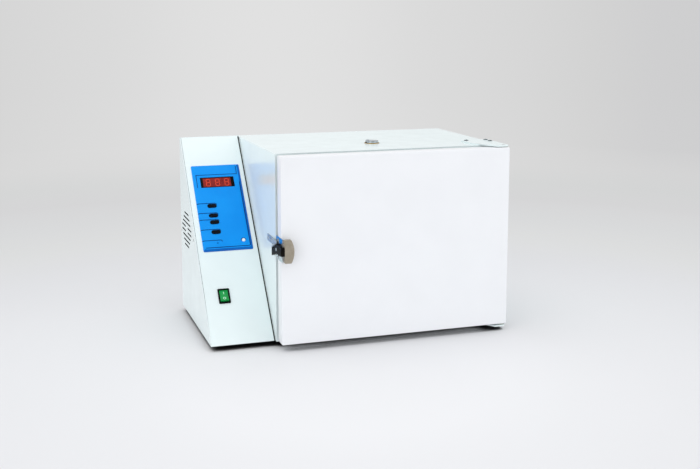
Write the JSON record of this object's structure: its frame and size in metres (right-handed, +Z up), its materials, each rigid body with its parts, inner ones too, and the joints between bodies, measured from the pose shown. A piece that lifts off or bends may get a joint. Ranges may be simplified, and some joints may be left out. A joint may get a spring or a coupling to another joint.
{
  "type": "dry heat sterilizer",
  "caption": "Bench-top dry heat sterilizer: white cabinet with a latched swing door and fan-heated steel chamber, beside a control box with a slanted keypad front and a rocker switch.",
  "frame": {"origin": "bottom centre of the whole object, on the surface that the feet stand on", "axes": "+X to the right seen from the door, +Y from the door to the back, +Z up"},
  "size_m": [0.655, 0.431, 0.4195],
  "materials": {
    "casing_paint": "smooth powder coat, cool white",
    "door_paint": "smooth powder coat, cool white",
    "liner_steel": "satin stainless sheet",
    "bright_steel": "polished",
    "heater_steel": "heat-tinted tube",
    "core_steel": "stacked sheet, bare",
    "dark_steel": "blackened",
    "copper": "lacquered winding",
    "brass": "turned",
    "wool": "mineral wool board",
    "ceramic": "glazed ceramic",
    "seal": "white silicone",
    "black_rubber": "moulded",
    "keypad_blue": "glossy printed film over a moulded frame",
    "tinted_window": "dark red tint",
    "black_plastic": "moulded",
    "taupe_plastic": "moulded",
    "green_plastic": "translucent green",
    "lamp_cap": "frosted cap",
    "board": "solder mask",
    "pale_plastic": "moulded"
  },
  "bodies": {
    "cabinet": {"cabinet_shell": "casing_paint", "front_frame": "casing_paint", "base_pan": "casing_paint", "back_panel": "casing_paint", "control_side_panel": "casing_paint", "control_cover": "casing_paint", "control_floor": "casing_paint", "feet": "black_rubber", "chamber_liner": "liner_steel", "insulation_top": "wool", "insulation_bottom": "wool", "insulation_left": "wool", "insulation_right": "wool", "insulation_back": "wool", "air_baffle": "liner_steel", "heaters": "heater_steel", "heater_bushings": "ceramic", "shelf_rails_left": "liner_steel", "shelf_rails_right": "liner_steel", "shelf_upper": "bright_steel", "shelf_lower": "bright_steel", "temperature_probe": "bright_steel", "safety_thermostat": "black_plastic", "motor_stack": "core_steel", "motor_coil": "copper", "motor_plates": "bright_steel", "vent_tube": "liner_steel", "vent_collar": "brass", "keypad_panel": "keypad_blue", "display_window": "tinted_window", "display_module": "black_plastic", "status_lamp": "lamp_cap", "control_board": "board", "key_switches": "pale_plastic", "power_transformer": "core_steel", "heater_relay": "pale_plastic", "rocker_housing": "black_plastic", "mains_inlet": "black_plastic", "fuse_holders": "black_plastic", "hinge_plates": "casing_paint", "hinge_pins": "bright_steel", "latch_keeper": "bright_steel"},
    "door": {"door_shell": "door_paint", "door_inner_panel": "liner_steel", "door_insulation": "wool", "door_gasket": "seal", "door_bushes": "brass", "latch_base": "bright_steel"},
    "latch": {"latch_lever": "dark_steel", "latch_grip": "taupe_plastic"},
    "fan": {"fan_shaft": "bright_steel", "motor_rotor": "core_steel", "fan_impeller": "liner_steel", "cooling_fan": "black_plastic"},
    "rocker": {"rocker_key": "green_plastic"},
    "vent_cap": {"vent_cap": "bright_steel"},
    "key_1": {"key_1": "black_plastic"},
    "key_2": {"key_2": "black_plastic"},
    "key_3": {"key_3": "black_plastic"},
    "key_4": {"key_4": "black_plastic"}
  },
  "joints": [
    {"name": "door_swing", "type": "hinge", "parent": "cabinet", "child": "door", "pos_m": [0.3175, -0.1785, 0.212], "axis": [0, 0, 1], "range_deg": [0, 120]},
    {"name": "latch_lift", "type": "hinge", "parent": "door", "child": "latch", "pos_m": [-0.1928, -0.1815, 0.2185], "axis": [-1, 0, 0], "range_deg": [-6, 12]},
    {"name": "rocker_tip", "type": "hinge", "parent": "cabinet", "child": "rocker", "pos_m": [-0.2838, -0.0671, 0.09617], "axis": [1, 0, 0], "range_deg": [0, 16]},
    {"name": "vent_turn", "type": "hinge", "parent": "cabinet", "child": "vent_cap", "pos_m": [0.0625, -0.0375, 0.415], "axis": [0, 0, 1], "range_deg": [0, 90]},
    {"name": "fan_spin", "type": "hinge", "parent": "cabinet", "child": "fan", "pos_m": [-0.1895, 0.0995, 0.18], "axis": [1, 0, 0], "continuous": true},
    {"name": "key_1_press", "type": "slide", "parent": "cabinet", "child": "key_1", "axis": [0, 0.7666, -0.6421], "range_m": [0, 0.001], "stiffness_N_per_m": 1200},
    {"name": "key_2_press", "type": "slide", "parent": "cabinet", "child": "key_2", "axis": [0, 0.7666, -0.6421], "range_m": [0, 0.001], "stiffness_N_per_m": 1200},
    {"name": "key_3_press", "type": "slide", "parent": "cabinet", "child": "key_3", "axis": [0, 0.7666, -0.6421], "range_m": [0, 0.001], "stiffness_N_per_m": 1200},
    {"name": "key_4_press", "type": "slide", "parent": "cabinet", "child": "key_4", "axis": [0, 0.7666, -0.6421], "range_m": [0, 0.001], "stiffness_N_per_m": 1200}
  ]
}
